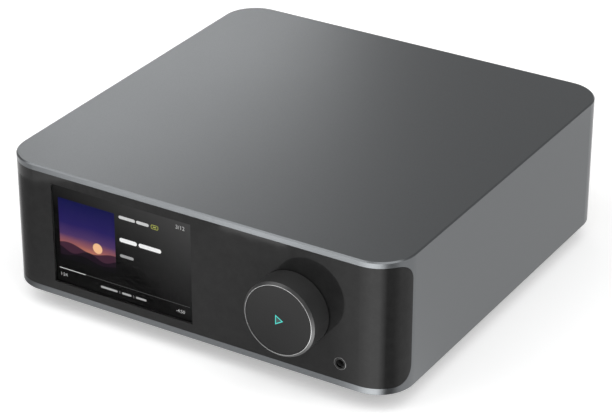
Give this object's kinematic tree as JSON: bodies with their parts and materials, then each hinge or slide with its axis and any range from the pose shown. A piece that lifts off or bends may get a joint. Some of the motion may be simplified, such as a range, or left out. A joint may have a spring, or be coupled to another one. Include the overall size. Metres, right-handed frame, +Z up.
{
  "type": "network music streamer",
  "caption": "Compact square home audio streamer with a wrap-round gloss front, colour display, large volume ring round a lit play button, headphone socket and rear connections.",
  "frame": {"origin": "on the surface that the feet stand on, under the middle of the housing", "axes": "+Z up, front panel faces -Y, +X to the viewer's right when facing the front"},
  "size_m": [0.2, 0.222, 0.0725],
  "materials": {
    "antenna": "film on board",
    "base": "matt, fine spark texture",
    "screws": "black zinc",
    "board_socket": "moulded",
    "guide": "low-friction",
    "light_guide": "clear moulded",
    "chips": "moulded",
    "circuit_board": "solder mask",
    "bracket": "zinc plated",
    "display_glass": "polished",
    "display_panel": "lit picture",
    "ribbon": "film",
    "encoder_wheel": "matt",
    "capacitor": "sleeved can",
    "fascia": "high gloss",
    "socket_steel": "nickel plated",
    "jack": "satin",
    "bezel": "satin chrome",
    "lights": "lit",
    "lead": "pvc",
    "clip_steel": "spring steel",
    "washer_white": "low-friction",
    "knob_trim": "turned bevel",
    "mains_plastic": "satin",
    "pins": "nickel plated",
    "optical_door": "satin",
    "optical": "satin",
    "button_face": "spun black",
    "symbol": "lit diffuser",
    "transformer": "taped winding",
    "shield": "tinned",
    "switch": "matt",
    "rca_block": "moulded",
    "orange_insert": "satin",
    "red_insert": "satin",
    "plated": "gold flash",
    "white_insert": "satin",
    "rear_panel": "matt, fine spark texture",
    "feet": "matt",
    "heatsink": "mill finish",
    "plunger": "satin",
    "housing": "satin anodised",
    "knob": "black anodised"
  },
  "bodies": {
    "root": {"antennas": "antenna", "base_plate": "base", "base_screws": "screws", "board_screws": "screws", "board_sockets": "board_socket", "button_guide": "guide", "circuit_chips": "chips", "control_board": "circuit_board", "control_board_screws": "screws", "control_ribbon": "ribbon", "display_bracket": "bracket", "display_glass": "display_glass", "display_panel": "display_panel", "display_ribbon": "ribbon", "display_screws": "screws", "encoder_sensor": "switch", "ethernet_socket": "socket_steel", "fascia_screws": "screws", "filter_capacitors": "capacitor", "front_fascia": "fascia", "ground_post": "plated", "hdmi_socket": "socket_steel", "headphone_jack": "jack", "headphone_ring": "bezel", "indicator_lights": "lights", "internal_leads": "lead", "knob_thrust_washer": "washer_white", "main_board": "circuit_board", "mains_inlet": "mains_plastic", "mains_pins": "pins", "optical_sockets": "optical", "power_supply_board": "circuit_board", "power_transformer": "transformer", "processor_shield": "shield", "push_switch": "switch", "rca_housings": "rca_block", "rca_orange_inserts": "orange_insert", "rca_red_inserts": "red_insert", "rca_shells": "plated", "rca_white_inserts": "white_insert", "rear_panel": "rear_panel", "rear_panel_screws": "screws", "rubber_feet": "feet", "supply_heatsink": "heatsink", "top_housing": "housing", "trigger_jack": "jack", "usb_socket": "socket_steel", "wireless_module": "shield"},
    "volume_knob": {"volume_knob": "knob", "knob_trim_ring": "knob_trim", "encoder_wheel": "encoder_wheel", "knob_retaining_clip": "clip_steel"},
    "play_button": {"play_button": "button_face", "play_symbol": "symbol", "button_light_guide": "light_guide", "switch_plunger": "plunger"},
    "optical_in_door": {"optical_in_door": "optical_door"},
    "optical_out_door": {"optical_out_door": "optical_door"},
    "ground_washer": {"ground_washer": "clip_steel"},
    "ground_nut": {"ground_nut": "plated"}
  },
  "joints": [
    {"name": "volume_turn", "type": "hinge", "parent": "root", "child": "volume_knob", "pos_m": [0.0517, -0.1, 0.04093], "axis": [0, 1, 0], "continuous": true},
    {"name": "play_push", "type": "slide", "parent": "root", "child": "play_button", "axis": [0, 1, 0], "range_m": [0, 0.0005], "stiffness_N_per_m": 2000},
    {"name": "optical_in_swing", "type": "hinge", "parent": "root", "child": "optical_in_door", "pos_m": [0.01, 0.09855, 0.0274], "axis": [-1, 0, 0], "range_deg": [0, 85], "stiffness_Nm_per_rad": 0.0002, "springref_deg": -17.19},
    {"name": "optical_out_swing", "type": "hinge", "parent": "root", "child": "optical_out_door", "pos_m": [0.01, 0.09855, 0.0384], "axis": [-1, 0, 0], "range_deg": [0, 85], "stiffness_Nm_per_rad": 0.0002, "springref_deg": -17.19},
    {"name": "ground_washer_slide", "type": "slide", "parent": "root", "child": "ground_washer", "axis": [0, 1, 0], "range_m": [0, 0.0014]},
    {"name": "ground_nut_turn", "type": "hinge", "parent": "ground_washer", "child": "ground_nut", "pos_m": [0.075, 0.1, 0.029], "axis": [0, 1, 0], "range_deg": [0, 720]}
  ],
  "couplings": [
    {"joint": "ground_nut_turn", "follows": "ground_washer_slide", "rad_per_m": 8976}
  ]
}
